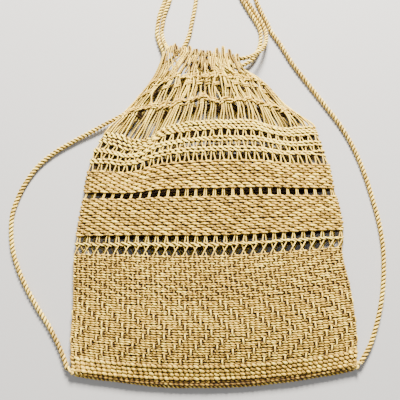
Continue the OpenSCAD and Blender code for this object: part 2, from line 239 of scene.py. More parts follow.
class Tubes:
    """Round yarns gathered into one mesh, with what the fibre materials need at each point,
    painted shade among it.
    """

    def __init__(self):
        self.points, self.quads, self.caps, self.yarn, self.fibre = [], [], [], [], []
        self.count = 0

    def add(self, curves, radius, normals, lift=1.0, reach=1.0, tone=None, sides=6, flat=1.0):
        """curves is (number, points, 3). lift is how far each point stands out of the
        middle of the cloth, and reach the most that any does; here they set only the painted
        shade, as the curves already hold the lift. flat squeezes the section."""
        curves = np.asarray(curves, float)
        number, length = curves.shape[:2]
        radius = np.broadcast_to(radius, (number, length))
        lift = np.broadcast_to(lift, (number, length))
        if tone is None:
            tone = wander(number, length, max(2, length // 12), 0.5)
        tone = np.broadcast_to(tone, (number, length))
        ahead = unit(np.gradient(curves, axis=1))
        normals = np.broadcast_to(normals, curves.shape)
        side = unit(np.cross(ahead, normals))
        out = np.cross(side, ahead)
        angle = np.arange(sides) * 2 * math.pi / sides
        cosine, sine = np.cos(angle), np.sin(angle)
        ring = side[:, :, None] * cosine[:, None] + out[:, :, None] * sine[:, None] * flat
        self.points.append(
            (curves[:, :, None] + ring * radius[:, :, None, None]).reshape(-1, 3))
        steps = np.linalg.norm(np.diff(curves, axis=1), axis=2)
        run = np.concatenate([np.zeros((number, 1)), np.cumsum(steps, axis=1)], 1)
        shape = (number, length, sides)
        self.yarn.append(np.stack([
            np.broadcast_to(cosine, shape), np.broadcast_to(sine, shape),
            np.broadcast_to(run[:, :, None], shape)], -1).reshape(-1, 3))
        # Painted shade: the depth is lower in the hollows and on each yarn's sides, and the
        # materials darken it
        depth = (lift[:, :, None] / reach * LIFT_SHARE + np.abs(sine)) / (1 + LIFT_SHARE)
        seed = rng.uniform(0, 1, (number, 1, 1))
        self.fibre.append(np.stack([
            np.broadcast_to(tone[:, :, None], shape), depth,
            np.broadcast_to(seed, shape)], -1).reshape(-1, 3))
        index = self.count + np.arange(number * length * sides).reshape(shape)
        around = np.roll(index, -1, axis=2)
        self.quads.append(np.stack([
            index[:, :-1], around[:, :-1], around[:, 1:], index[:, 1:]], -1).reshape(-1, 4))
        self.caps.append((index[:, 0, ::-1], index[:, -1]))
        self.count += number * length * sides

    def mesh(self, name):
        """The tubes as one Blender mesh, in metres, pressed flat where they lie on the floor."""
        points = np.concatenate(self.points) * MM
        points[:, 2] = np.maximum(points[:, 2], 0)
        quads = np.concatenate(self.quads)
        caps = [c for pair in self.caps for c in pair]
        loops = np.concatenate([quads.ravel()] + [c.ravel() for c in caps])
        sizes = np.concatenate([np.full(len(quads), 4)]
                               + [np.full(len(c), c.shape[1]) for c in caps])
        starts = np.concatenate([[0], np.cumsum(sizes)[:-1]])
        mesh = bpy.data.meshes.new(name)
        mesh.vertices.add(len(points))
        mesh.vertices.foreach_set("co", points.ravel())
        mesh.loops.add(len(loops))
        mesh.loops.foreach_set("vertex_index", loops.astype(np.int32))
        mesh.polygons.add(len(sizes))
        mesh.polygons.foreach_set("loop_start", starts.astype(np.int32))
        mesh.polygons.foreach_set("loop_total", sizes.astype(np.int32))
        mesh.update(calc_edges=True)
        mesh.shade_smooth()
        # The fibre attribute holds each point's tone, its depth for the painted shade, and a seed
        # per yarn
        for label, values in (("yarn", self.yarn), ("fibre", self.fibre)):
            attribute = mesh.attributes.new(label, "FLOAT_VECTOR", "POINT")
            attribute.data.foreach_set(
                "vector", np.concatenate(values).astype(np.float32).ravel())
        return mesh


def place(tubes, node, slot, suffix="yarns"):
    """Makes a piece of the tubes, to stand for the CAD node, with the finish of a slot."""
    piece = bpy.data.objects.new(f"{node}_{suffix}", tubes.mesh(node))
    bpy.context.scene.collection.objects.link(piece)
    piece.data.materials.append(FINISHES[slot])
    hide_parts(node)
    return piece


# ---- materials -------------------------------------------------------

# The fibre's streaks: noise stretched along each yarn, and set apart from yarn to yarn
STREAK_ACROSS, STREAK_ALONG, STREAK_APART = 2.2, 0.22, 90.0
STREAK_SCALE, STREAK_DETAIL = 1.8, 3.0
# What the place on the tone ramp is made of, and the ramp's three stops
STREAK_SHARE, TONE_SHARE, PLY_SHARE, TONE_BASE = 0.9, 0.55, 0.25, 0.38
TONE_STOPS = (0.05, 0.5, 0.95)
# Painted shade, brown in the hollows and on the yarns' sides: what the tone is multiplied by,
# from the deepest points to the top ones
HOLLOW_PAINTED_SHADE = ((0.54, (0.03, 0.02, 0.01)), (0.76, (0.095, 0.063, 0.024)), (0.92, (1, 1, 1)))
BUMP_STRENGTH, BUMP_METRES, BUMP_PLY = 0.55, 0.0004, 0.7
ROUGHNESS, SPECULAR, SHEEN, SHEEN_ROUGHNESS = 0.8, 0.22, 0.05, 0.5


def math_node(nodes, links, operation, a, b=None):
    """One sum on two sockets or numbers."""
    node = nodes.new("ShaderNodeMath")
    node.operation = operation
    for socket, value in zip(node.inputs, (a, b)):
        if value is None:
            continue
        if isinstance(value, (int, float)):
            socket.default_value = value
        else:
            links.new(value, socket)
    return node.outputs[0]


def ramp_node(nodes, stops):
    """A colour ramp with (position, colour) stops, the outer two first and last."""
    ramp = nodes.new("ShaderNodeValToRGB")
    elements = ramp.color_ramp.elements
    for element, (position, colour) in zip(elements, (stops[0], stops[-1])):
        element.position = position
        element.color = (*colour, 1)
    for position, colour in stops[1:-1]:
        elements.new(position).color = (*colour, 1)
    return ramp


def straw(name, colours, plies, lay):
    """Twisted plant fibre, in colours from dark to pale. Its streaks and plies follow each
    yarn, which turns once in lay millimetres, and painted shade darkens its hollows and the
    sides of each yarn to brown."""
    material = bpy.data.materials.new(name)
    material.use_nodes = True
    nodes, links = material.node_tree.nodes, material.node_tree.links
    shader = nodes["Principled BSDF"]

    def attribute(label):
        source = nodes.new("ShaderNodeAttribute")
        source.attribute_name = label
        split = nodes.new("ShaderNodeSeparateXYZ")
        links.new(source.outputs["Vector"], split.inputs[0])
        return split.outputs

    def m(operation, a, b=None):
        return math_node(nodes, links, operation, a, b)

    cosine, sine, run = attribute("yarn")
    tone, depth, seed = attribute("fibre")
    angle = m("ARCTAN2", sine, cosine)
    twist = m("ADD", m("MULTIPLY", angle, plies), m("MULTIPLY", run, plies * 2 * math.pi / lay))
    ply = m("MULTIPLY", m("ADD", m("COSINE", twist), 1.0), 0.5)

    place_along = nodes.new("ShaderNodeCombineXYZ")
    links.new(m("MULTIPLY", cosine, STREAK_ACROSS), place_along.inputs[0])
    links.new(m("MULTIPLY", sine, STREAK_ACROSS), place_along.inputs[1])
    along = m("ADD", m("MULTIPLY", run, STREAK_ALONG), m("MULTIPLY", seed, STREAK_APART))
    links.new(along, place_along.inputs[2])
    streaks = nodes.new("ShaderNodeTexNoise")
    streaks.inputs["Scale"].default_value = STREAK_SCALE
    streaks.inputs["Detail"].default_value = STREAK_DETAIL
    links.new(place_along.outputs[0], streaks.inputs["Vector"])
    streak = streaks.outputs[0]

    level = m("ADD", m("MULTIPLY", m("SUBTRACT", streak, 0.5), STREAK_SHARE),
              m("ADD", m("MULTIPLY", tone, TONE_SHARE), m("MULTIPLY", ply, PLY_SHARE)))
    tones = ramp_node(nodes, list(zip(TONE_STOPS, colours)))
    links.new(m("ADD", level, TONE_BASE), tones.inputs[0])

    # Painted shade: the tone is darkened to brown by each point's depth, in the hollows and on
    # the yarns' sides
    hollow_painted_shade = ramp_node(nodes, HOLLOW_PAINTED_SHADE)
    links.new(m("MULTIPLY", m("ADD", depth, 1.0), 0.5), hollow_painted_shade.inputs[0])
    shaded = nodes.new("ShaderNodeMix")
    shaded.data_type = "RGBA"
    shaded.blend_type = "MULTIPLY"
    shaded.inputs["Factor"].default_value = 1.0
    links.new(tones.outputs[0], shaded.inputs["A"])
    links.new(hollow_painted_shade.outputs[0], shaded.inputs["B"])
    links.new(shaded.outputs["Result"], shader.inputs["Base Color"])

    bump = nodes.new("ShaderNodeBump")
    bump.inputs["Strength"].default_value = BUMP_STRENGTH
    bump.inputs["Distance"].default_value = BUMP_METRES
    links.new(m("ADD", m("MULTIPLY", ply, BUMP_PLY), streak), bump.inputs["Height"])
    links.new(bump.outputs[0], shader.inputs["Normal"])
    shader.inputs["Roughness"].default_value = ROUGHNESS
    shader.inputs["Specular IOR Level"].default_value = SPECULAR
    shader.inputs["Sheen Weight"].default_value = SHEEN
    shader.inputs["Sheen Roughness"].default_value = SHEEN_ROUGHNESS
    return material


FINISHES = {
    "twined_cloth": straw(
        "twined_straw", ((0.16, 0.09, 0.012), (0.65, 0.39, 0.045), (1.0, 0.76, 0.13)),
        plies=2, lay=6.0),
    "warp_cord": straw(
        "warp_straw", ((0.17, 0.095, 0.012), (0.68, 0.42, 0.045), (0.98, 0.73, 0.12)),
        plies=2, lay=5.0),
    "drawcord": straw(
        "cord_straw", ((0.24, 0.14, 0.02), (0.82, 0.55, 0.09), (1.0, 0.81, 0.19)),
        plies=3, lay=-9.0),
}


# ---- camera ----------------------------------------------------------

CAMERA_TILT = math.radians(14.75)
CAMERA_TURN = math.radians(-1.12)
CAMERA_PLACE = (-0.0125, -0.129, 0.5197)


def add_camera():
    """The photograph's view: from above, tilted a little towards the mouth."""
    data = bpy.data.cameras.new("camera")
    data.lens, data.sensor_width = 50, 36
    camera = bpy.data.objects.new("camera", data)
    camera.location = CAMERA_PLACE
    camera.rotation_euler = (CAMERA_TILT, 0, CAMERA_TURN)
    bpy.context.scene.collection.objects.link(camera)
    bpy.context.scene.camera = camera


add_camera()


# ---- the drawcord ----------------------------------------------------

# One turn of the two strands, their distance from the centre line and their radius
STRAND_TURN = 7.7
STRAND_OUT = CORD_D * 0.25
STRAND_R = CORD_D * 0.262
CORD_STEP = 0.8
# A stretch is at least this many steps long, and its end this near to where it should be
LEAST_STEPS = 10
END_WITHIN = 0.5
# The carry loops bend about a line across the cords, this far on either side of it
HINGE_Y = 190
HINGE_REACH = 11


def whole_cord():
    """The drawcord's centre line from corner to corner, and where each stretch starts."""
    names = list(CORD_ROUTE)
    points = np.concatenate([np.array(CORD_ROUTE[n], float) for n in names])
    line = spline(points, CORD_STEP)
    cuts = [0]
    for before, after in zip(names, names[1:]):
        middle = (np.array(CORD_ROUTE[before][-1]) + np.array(CORD_ROUTE[after][0])) / 2
        first = cuts[-1] + LEAST_STEPS
        away = np.linalg.norm(line[first:] - middle, axis=1)
        cuts.append(first + int(np.argmax(away < away.min() + END_WITHIN)))
    cuts.append(len(line) - 1)
    return line, cuts


def laid_strands(line):
    """Two strands twisted round the centre line, and each point's outward direction."""
    ahead = unit(np.gradient(line, axis=0))
    side = unit(np.cross(ahead, [0, 0, 1]))
    up = np.cross(side, ahead)
    steps = np.linalg.norm(np.diff(line, axis=0), axis=1)
    run = np.concatenate([[0], np.cumsum(steps)])
    turn = -2 * math.pi * run / STRAND_TURN
    strands, outs = [], []
    for start in (0, math.pi):
        a = (turn + start)[:, None]
        out = side * np.cos(a) + up * np.sin(a)
        strands.append(line + out * STRAND_OUT)
        outs.append(out)
    return np.array(strands), np.array(outs)


def add_drawcord():
    """The whole drawcord as one lay, cut into the CAD's stretches. The straps swing whole,
    and what crosses the carry loops' hinge line bends there."""
    line, cuts = whole_cord()
    strands, outs = laid_strands(line)
    radius = STRAND_R * (1 + wander(2, len(line), len(line) // 9, 0.05))
    tone = wander(2, len(line), len(line) // 14, 0.45)
    for name, start, end in zip(CORD_ROUTE, cuts, cuts[1:]):
        part = slice(start, end + 1)
        tubes = Tubes()
        tubes.add(strands[:, part], radius[:, part], outs[:, part], tone=tone[:, part],
                  sides=10)
        rope = place(tubes, name, "drawcord", "rope")
        path = line[part] * MM
        if name in STRAP_STRETCHES:
            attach(rope, name)
        elif name in LOOP_STRETCHES or path[:, 1].max() > (HINGE_Y - HINGE_REACH) * MM:
            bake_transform(rope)
        else:
            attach(rope, "bag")


add_drawcord()


# ---- twined rows -----------------------------------------------------

# A stitch's fullness: powers that round its top and narrow the crossing at its ends
STITCH_POWER, CROSSING_POWER = 0.6, 1.2
# How far two yarns stand out where they cross, and how deep a yarn lies under a float
CROSSING_LIFT = 0.05
COVERED_SINK = 0.4
# How much the stitches vary in size, and the section's height as a part of its width
LOOSENESS = 0.2
YARN_FLAT = 0.85
# Lift above which a warp is a float, whose tone is made paler, and below which it is ground,
# whose painted shade is deepened
FLOAT_LIFT, FLOAT_PALER = 0.6, 0.3
GROUND_LIFT, GROUND_PAINTED_SHADE = 0.3, 1.4


def crossings_every(step, shift):
    """Places, in warps, where a row's two yarns cross: one every step warps."""
    return np.arange(-2 * step + shift, WARPS + 2 * step + 0.1, step)


def add_rows(tubes, face, heights, crossings, lean, radius, depth=1.0, spread=0.3,
             pinch=0.48, covered=None, uneven=0.25, path=None, per_warp=6, base=0.0,
             paler=0.0):
    """Rows of two yarns that twist round each other. crossings has each row's own list,
    lean is +1 where the front stitches climb to the right and -1 where they fall. The
    yarns thin by pinch where they cross, which leaves small hollows between the rows.
    path adds to the height along each row, base is how far the rows stand out, and paler
    lightens them."""
    sides, per_warp = (6, per_warp) if face == "front" else (5, 4)
    c = np.linspace(0, WARPS, WARPS * per_warp + 1)
    rows = len(heights)
    heights = np.asarray(heights, float)
    shift = wander(rows, len(c), WARPS // 2, LOOSENESS)
    index = np.stack([
        np.interp(c + s, x, np.arange(len(x))) for x, s in zip(crossings, shift)])
    phase = math.pi * (index[:, None] + np.array([-0.5, 0.5])[:, None])
    front = np.cos(phase)
    bulge = np.sign(front) * np.abs(front) ** STITCH_POWER
    crossing = (1 - np.abs(front)) ** CROSSING_POWER
    loose = 1 + wander(rows * 2, len(c), WARPS // 2, LOOSENESS).reshape(rows, 2, -1)
    lift = base + depth * bulge * loose + CROSSING_LIFT * crossing
    if covered is not None:
        hidden = covered(c)[:, None]
        lift = lift * (1 - hidden) - COVERED_SINK * hidden
    lean = np.broadcast_to(np.asarray(lean, float), (rows,))
    drift = wander(rows, len(c), 9, uneven) + wander(rows, len(c), WARPS // 2, uneven * 0.6)
    if path is not None:
        drift = drift + path(c)
    v = heights[:, None, None] + drift[:, None] + (
        lean[:, None, None] * spread * np.sin(phase) * loose)
    point, normal = surface(warp_u(c)[None, None], v, face)
    curves = (point + normal * lift[..., None]).reshape(rows * 2, len(c), 3)
    tone = wander(rows * 2, len(c), WARPS, 0.5) + wander(rows * 2, len(c), 7, 0.25) + paler
    size = radius * (1 + wander(rows * 2, len(c), WARPS, 0.1)) * (
        1 - pinch * crossing.reshape(rows * 2, -1))
    tubes.add(curves, size, normal.reshape(curves.shape), lift.reshape(rows * 2, -1),
              depth, tone, sides, YARN_FLAT)


def add_warps(tubes, face, bottom, top, raised=None, radius=WARP_R, step=2.4):
    """The upright cords that a closed band's rows twist round. raised(v) gives each warp's
    own lift, where some come to the front."""
    count = max(3, int((top - bottom) / step) + 1)
    v = np.linspace(bottom, top, count)
    c = (np.arange(WARPS) + 0.5)[:, None] + wander(WARPS, count, count // 2 + 1, 0.06)
    lifts = np.zeros((WARPS, count)) if raised is None else raised(v)
    tone = wander(WARPS, count, max(2, count // 6), 0.3) + FLOAT_PALER * (lifts > FLOAT_LIFT)
    point, normal = surface(warp_u(c), v[None], face)
    # Ground warps' depth is lowered, which deepens their painted shade; their place stays
    tubes.add(point + normal * lifts[..., None], radius, normal,
              lifts - GROUND_PAINTED_SHADE * (lifts < GROUND_LIFT), 1.5, tone, 6)


def rows_between(bottom, top, count):
    """Heights of count rows that fill a band."""
    pitch = (top - bottom) / count
    return bottom + pitch * (np.arange(count) + 0.5)


def bottom_courses(face):
    """Four thick rows above the seam."""
    tubes = Tubes()
    heights = rows_between(V_PANEL, V_BASKET + 0.4, 4)
    add_rows(tubes, face, heights, [crossings_every(1, 0)] * len(heights),
             lean=-1, radius=1.95, spread=0.75, uneven=0.14, pinch=0.66)
    add_warps(tubes, face, V_PANEL, V_BASKET)
    return tubes


# One warp in this many floats. Half a float's width, in warps, and half its height, as a
# part of the rows it covers
FLOAT_EVERY = 4
FLOAT_WIDE, FLOAT_TALL = 0.46, 0.68
# How far the warps stand out between their floats
GROUND = -0.1
# A yarn's radius, and how far its stitches climb, as parts of the distance between rows
YARN_SHARE = 0.48
CLIMB_SHARE = 0.12


def hump(x, half_width):
    """A smooth flat-topped hump, 1 in the middle and nearly 0 past half_width."""
    return np.exp(-((x / half_width) ** 4))


def float_band(face, bottom, top, steps, tall, lift, warp_radius):
    """Rows twisted round every warp, but one warp in FLOAT_EVERY passes in front of some.
    steps has a number for every few (tall) rows, from the bottom: how many warps further to
    the right their floats stand than the floats below."""
    tubes = Tubes()
    heights = rows_between(bottom, top, len(steps) * tall)
    pitch = heights[1] - heights[0]
    floats = [(k * tall, i) for k, place in enumerate(np.cumsum(steps))
              for i in range(WARPS) if (i - place) % FLOAT_EVERY == 0]

    def covered(c):
        hidden = np.zeros((len(heights), len(c)))
        for row, i in floats:
            hidden[row:row + tall] = np.maximum(
                hidden[row:row + tall], hump(c - i - 0.5, FLOAT_WIDE))
        return hidden

    def raised(v):
        lifts = np.full((WARPS, len(v)), GROUND)
        for row, i in floats:
            middle = heights[row] + pitch * (tall - 1) / 2
            risen = hump(v - middle, pitch * tall * FLOAT_TALL)
            lifts[i] = np.maximum(lifts[i], GROUND + (lift - GROUND) * risen)
        return lifts

    add_rows(tubes, face, heights, [crossings_every(1, 0)] * len(heights),
             lean=-1, radius=pitch * YARN_SHARE, depth=0.8, spread=pitch * CLIMB_SHARE,
             pinch=0.5, covered=covered, per_warp=5)
    add_warps(tubes, face, bottom, top, raised, warp_radius, step=0.6 + 0.5 * tall)
    return tubes


def basket_band(face):
    """Floats two rows tall that step to the right, and above the middle to the left."""
    return float_band(face, V_BASKET, V_CHEVRON, [1] * 7 + [-1] * 6, tall=2, lift=1.5,
                      warp_radius=1.0)


def chevron_band(face):
    """Floats one row tall, in slanting lines that turn back halfway up."""
    return float_band(face, V_CHEVRON, V_LOW_WARPS + 1.2, [-1] * 9 + [1] * 9, tall=1,
                      lift=0.75, warp_radius=0.85)


def paired_band(face, bottom, top, count):
    """Closed cloth whose stitches span two warps, each row half a stitch on from the last."""
    tubes = Tubes()
    heights = rows_between(bottom, top, count)
    add_rows(tubes, face, heights, [crossings_every(2, j % 2) for j in range(count)],
             lean=-1, radius=(heights[1] - heights[0]) * 0.56, spread=0.28, pinch=0.66,
             uneven=0.3, paler=-0.15)
    add_warps(tubes, face, bottom, top)
    return tubes


# Warps that one stitch of a bar spans
BAR_STITCH = 1.3


def bar(face, bottom, top, count, radius=1.3):
    """A narrow bar of rows between two open rows."""
    tubes = Tubes()
    inset = radius * 0.8
    add_rows(tubes, face, np.linspace(bottom + inset, top - inset, count),
             [crossings_every(BAR_STITCH, BAR_STITCH / 2 * (j % 2)) for j in range(count)],
             lean=-1, radius=radius, spread=0.7, uneven=0.8, pinch=0.35, paler=0.55)
    add_warps(tubes, face, bottom, top)
    return tubes


# ---- open rows -------------------------------------------------------

# Points along a bare warp, its sides, and how far it reaches into the rows at its ends
BARE_POINTS, BARE_SIDES = 9, 7
REACH_IN = 1.6
# The back wall's warps stand beside the front's, in warps
BACK_SHIFT = 0.9
# So many groups, from the left, lean more than the others in the leaning row
LEANING_GROUPS = 10


def open_row(face, bottom, top, shape, radius=0.62):
    """A row of holes between pairs of bare warps. shape(group) gives, for each warp of a
    pair, a list of places: [share of the height, place in warps from the group's left, how
    far it stands out]."""
    share = np.linspace(0, 1, BARE_POINTS)
    v = bottom - REACH_IN + (top - bottom + 2 * REACH_IN) * share
    curves, normals, lifts = [], [], []
    for group in range(WARPS // 2):
        for places in shape(group):
            places = np.array(places, float)
            c = 2 * group + np.interp(share, places[:, 0], places[:, 1])
            c = c + (BACK_SHIFT if face == "back" else 0)
            lift = np.interp(share, places[:, 0], places[:, 2])
            wobble = rng.normal(0, 0.035, 3)
            c = c + wobble[0] + wobble[1] * share + wobble[2] * np.sin(share * math.pi)
            point, normal = surface(warp_u(c), v, face)
            curves.append(point + normal * lift[:, None])
            normals.append(normal)
            lifts.append(lift)
    curves, normals, lifts = np.array(curves), np.array(normals), np.array(lifts)
    size = radius * (1 + wander(len(curves), BARE_POINTS, 3, 0.1))
    tone = 0.25 + wander(len(curves), BARE_POINTS, 3, 0.3)
    tubes = Tubes()
    # Bare warps get only light painted shade
    tubes.add(curves, size, normals, 0.9 + 0.1 * lifts, 1.0, tone, BARE_SIDES)
    return tubes


def leaning_pair(group):
    """Both warps lean to the right, and in the first groups more, and closer together."""
    if group < LEANING_GROUPS:
        return [[[0, 0.6, 0.4], [1, 1.15, 0.4]], [[0, 0.78, 0.2], [1, 1.36, 0.2]]]
    return [[[0, 0.62, 0.4], [1, 1.0, 0.4]], [[0, 1.1, 0.2], [1, 1.2, 0.2]]]


def peaked_pair(group):
    """The two warps lean together at the top."""
    return [[[0, 0.4, 0.3], [1, 0.85, 0.4]], [[0, 1.6, 0.3], [1, 1.15, 0.1]]]


def narrow_pair(group):
    """As a peaked pair, but steeper, which leaves wide holes between the pairs."""
    return [[[0, 0.65, 0.3], [1, 1.0, 0.4]], [[0, 1.35, 0.3], [1, 1.1, 0.1]]]


def valley_pair(group):
    """The two warps part towards the top."""
    return [[[0, 0.88, 0.3], [1, 0.45, 0.3]], [[0, 1.12, 0.1], [1, 1.55, 0.3]]]


def crossed_pair(group):
    """The two warps change places, one in front of the other."""
    over, under = 1.0, -0.7
    return [
        [[0, 0.35, 0], [0.35, 0.8, over], [0.65, 1.2, over], [1, 1.7, 0.2]],
        [[0, 1.65, 0], [0.35, 1.2, under], [0.65, 0.8, under], [1, 0.3, 0.2]]]


# ---- the neck --------------------------------------------------------

# Heights of the two upper courses, and the warps in the bunches at the two edges
V_MID_NET, V_TOP_COURSE = 118, 129
LEFT_EDGE_WARPS, RIGHT_EDGE_WARPS = 6, 4
# The edge bunches' distance from the folds, in warps, how far they stand out, and over how
# many warps that fades
EDGE_INSET = 0.25
EDGE_LIFT, EDGE_WIDE = 1.6, 5
# The net is this far below the drawcord
NET_GAP = 4.5
# The wraps: radius, how far each of the two lies from the middle, and how steeply it climbs
WRAP_R, WRAP_APART, WRAP_SLANT = 0.95, 0.95, 0.6
# A gather course's sag for each warp away from a bunch, and the distance between its rows
GATHER_SAG, GATHER_PITCH = 0.9, 2.1

# The hairpins: the first loop's height as in the CAD, and how much lower each mm to the right
LOOP_Y = 156.5
MOUTH_SLANT = 0.16
# Where the hairpins stand taller, how much, and how far to either side
TALL_LOOPS_X, TALL_LOOPS_MORE, TALL_LOOPS_SPREAD = 17, 5.5, 9
LOOP_PITCH = 6.6
HAIRPIN_R = 0.9
# Hairpins' legs fan out from here, by this share per mm down
FAN_X, FAN = 10, 0.022
MOUTH_LOOPS = {
    "front": dict(count=10, first=-30, z=21, out=1),
    "back": dict(count=7, first=-14, z=5, out=-1),
}


def loop_y(x):
    """The mouth slants: the first front loop is the highest."""
    return LOOP_Y - MOUTH_SLANT * (x - MOUTH_LOOPS["front"]["first"])


def bunches():
    """Cuts between neighbouring bunches of 3 to 5 warps, between the two edge bunches."""
    cuts = [LEFT_EDGE_WARPS]
    while cuts[-1] < WARPS - RIGHT_EDGE_WARPS:
        cuts.append(min(cuts[-1] + int(rng.integers(3, 6)), WARPS - RIGHT_EDGE_WARPS))
    return [0] + cuts + [WARPS]


def bunch_places(cuts, height, pitch, edge_pitch, ragged):
    """Each bunch's middle and height, and the places of the warps where they are bunched."""
    cuts = np.array(cuts)
    middles = (cuts[:-1] + cuts[1:]) / 2 + rng.normal(0, 0.25, len(cuts) - 1)
    heights = height + rng.uniform(-ragged, ragged, len(cuts) - 1)
    warp = np.arange(WARPS)
    bunch = np.searchsorted(cuts, warp, side="right") - 1
    places = middles[bunch] + (warp + 0.5 - (cuts[bunch] + cuts[bunch + 1]) / 2) * pitch
    left = warp < cuts[1]
    right = warp >= cuts[-2]
    places[left] = EDGE_INSET + warp[left] * edge_pitch
    places[right] = WARPS - EDGE_INSET - (WARPS - 1 - warp[right]) * edge_pitch
    middles[0] = places[left].mean()
    middles[-1] = places[right].mean()
    return dict(cuts=cuts, middles=middles, heights=heights, places=places,
                warp_heights=heights[bunch])


def neck_plan(face):
    """Where the warps of one face go from the last bar to the mouth: bunched in the gather
    course, halved and joined with their neighbours' halves, bunched again, and fanned out."""
    cuts = bunches()
    halves = [0] + [(a + b) // 2 for a, b in zip(cuts[1:-1], cuts[2:-1])] + [WARPS]
    low = bunch_places(cuts, (V_GATHER + V_NET) / 2, pitch=0.75, edge_pitch=0.85, ragged=2.6)
    middle = bunch_places(halves, V_MID_NET, pitch=0.7, edge_pitch=0.9, ragged=3.0)
    high = bunch_places(cuts, V_TOP_COURSE, pitch=0.8, edge_pitch=1.0, ragged=3.0)
    row = MOUTH_LOOPS[face]
    warp = np.arange(WARPS)
    loop_x = row["first"] + LOOP_PITCH * np.floor(warp * row["count"] / WARPS)
    tops = loop_y(loop_x) - NET_GAP
    left, right = lookup(LEFT_FOLD, tops), lookup(RIGHT_FOLD, tops)
    feet = (loop_x - left) / (right - left) * WARPS + rng.uniform(-1.2, 1.2, WARPS)
    feet = np.where(warp < LEFT_EDGE_WARPS, 1 + warp * 0.8, feet)
    heights = np.stack([
        np.full(WARPS, V_FREE - 2.0), low["warp_heights"], middle["warp_heights"],
        high["warp_heights"], tops - 4, tops + 3], 1)
    astray = rng.normal(0, 0.55, (2, WARPS))
    places = np.stack([
        warp + 0.5 + rng.normal(0, 0.12, WARPS), low["places"], middle["places"] + astray[0],
        high["places"] + astray[1], feet, feet], 1)
    lifts = rng.uniform(-0.2, 1.1, heights.shape)
    return dict(heights=heights, places=places, lifts=lifts, tops=tops, low=low,
                middle=middle, high=high)


NECK = {face: neck_plan(face) for face in ("front", "back")}


def add_neck_warps(tubes, face, bottom, top, radius):
    """The neck's bare warps from bottom to top, which is one height or each warp's own."""
    plan = NECK[face]
    top = np.broadcast_to(np.asarray(top, float), (WARPS,))
    steps = max(8, int((top.max() - bottom) / 1.6))
    v = np.linspace(bottom - 1, top + 1, steps, axis=1)
    c, lift = [
        np.stack([lookup(np.stack([known, value], 1), at)
                  for known, value, at in zip(plan["heights"], plan[what], v)])
        for what in ("places", "lifts")]
    c = c + wander(WARPS, steps, 4, 0.12)
    point, normal = surface(warp_u(c), v, face)
    edge = np.clip(1 - np.minimum(c + 1, WARPS + 1 - c) / EDGE_WIDE, 0, 1)
    lift = lift + EDGE_LIFT * edge
    size = radius * (1 + wander(WARPS, steps, 5, 0.15))
    tone = 0.35 + wander(WARPS, steps, 4, 0.5)
    tubes.add(point + normal * lift[..., None], size, normal, lift + 0.35, 1.5, tone, 7)


def add_gather(tubes, face, level, rows, depth):
    """Rows that catch the warps bunch by bunch, and sag between the bunches."""
    plan = NECK[face][level]
    cuts = plan["cuts"].astype(float)
    halfway = (cuts[:-1] + cuts[1:]) / 2
    crossings = np.sort(np.concatenate([[-6, -3], cuts, halfway, [WARPS + 3, WARPS + 6]]))
    middles, heights = plan["middles"], plan["heights"]

    def path(c):
        nearest = np.abs(c[:, None] - middles).min(1)
        return np.interp(c, middles, heights) - GATHER_SAG * nearest.clip(0, 2.5)

    add_rows(tubes, face, (np.arange(rows) - (rows - 1) / 2) * GATHER_PITCH,
             [crossings + 0.7 * (j % 2) for j in range(rows)],
             lean=[1 - 2 * (j % 2) for j in range(rows)], radius=1.0, depth=depth,
             spread=1.1, pinch=0.45, uneven=1.8, path=path, per_warp=4)


def add_wraps(tubes, face, level):
    """A yarn that wraps each bunch twice."""
    plan = NECK[face][level]
    half = np.diff(plan["cuts"]) * 0.25 + 0.35
    t = np.linspace(-1, 1, 11)
    lift = 2.6 * np.sqrt(1 - t ** 2 * 0.98) - 0.9
    for turn in (-WRAP_APART, WRAP_APART):
        c = plan["middles"][:, None] + half[:, None] * t
        uneven = rng.normal(0, 0.3, (len(c), 1))
        v = plan["heights"][:, None] + turn + WRAP_SLANT * t + uneven
        point, normal = surface(warp_u(c), v, face)
        tubes.add(point + normal * lift[:, None], WRAP_R, normal, lift, 1.7, sides=7)


def free_warps(face):
    """Long bare warps that fan in from the last bar to the gather course."""
    tubes = Tubes()
    add_neck_warps(tubes, face, V_FREE, V_GATHER, radius=0.88)
    return tubes


def gather_course(face):
    """The uneven course that holds the warps in bunches."""
    tubes = Tubes()
    add_neck_warps(tubes, face, V_GATHER, V_NET, radius=0.88)
    add_wraps(tubes, face, "low")
    add_gather(tubes, face, "low", rows=3, depth=1.8)
    return tubes


def mouth_net(face):
    """Crossing warps with wide holes, a second gather course, and warps that fan out."""
    tubes = Tubes()
    add_neck_warps(tubes, face, V_NET, NECK[face]["tops"], radius=0.85)
    add_wraps(tubes, face, "middle")
    add_wraps(tubes, face, "high")
    add_gather(tubes, face, "high", rows=2, depth=1.5)
    return tubes


